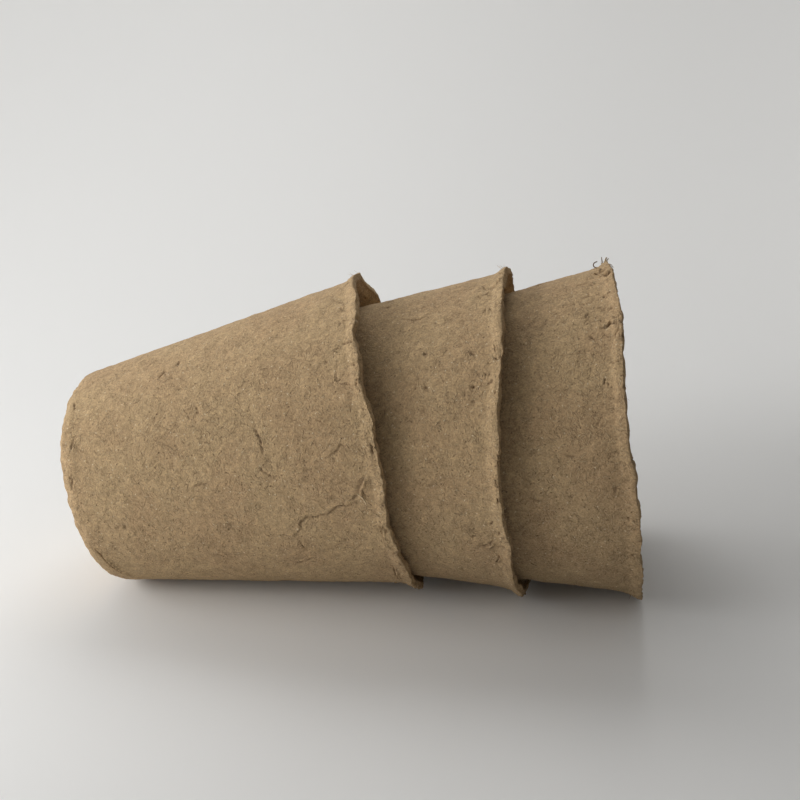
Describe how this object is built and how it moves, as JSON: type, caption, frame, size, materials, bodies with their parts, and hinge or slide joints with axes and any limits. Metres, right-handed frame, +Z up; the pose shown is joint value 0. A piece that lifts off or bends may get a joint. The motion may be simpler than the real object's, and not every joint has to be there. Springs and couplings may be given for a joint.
{
  "type": "peat pot",
  "caption": "Round tapered plant pots of moulded peat and wood pulp, loosely nested and lying on their side, each sliding out of the next.",
  "frame": {"origin": "on the surface that the pots lie on, under the middle of the nest", "axes": "+X along the nest, from the outer pot's base to the mouths; +Z up; +Y to the left of someone looking along +X"},
  "size_m": [0.1466, 0.0902, 0.0818],
  "materials": {
    "peat_pulp": "matt, fibrous moulded peat and wood pulp"
  },
  "bodies": {
    "outer_pot": {"outer_pot": "peat_pulp"},
    "middle_pot": {"middle_pot": "peat_pulp"},
    "inner_pot": {"inner_pot": "peat_pulp"}
  },
  "joints": [
    {"name": "middle_pot_slide", "type": "slide", "parent": "outer_pot", "child": "middle_pot", "axis": [0.984, -0.1559, 0.0859], "range_m": [0, 0.054]},
    {"name": "inner_pot_slide", "type": "slide", "parent": "middle_pot", "child": "inner_pot", "axis": [0.9894, -0.125, 0.0739], "range_m": [0, 0.06]}
  ]
}
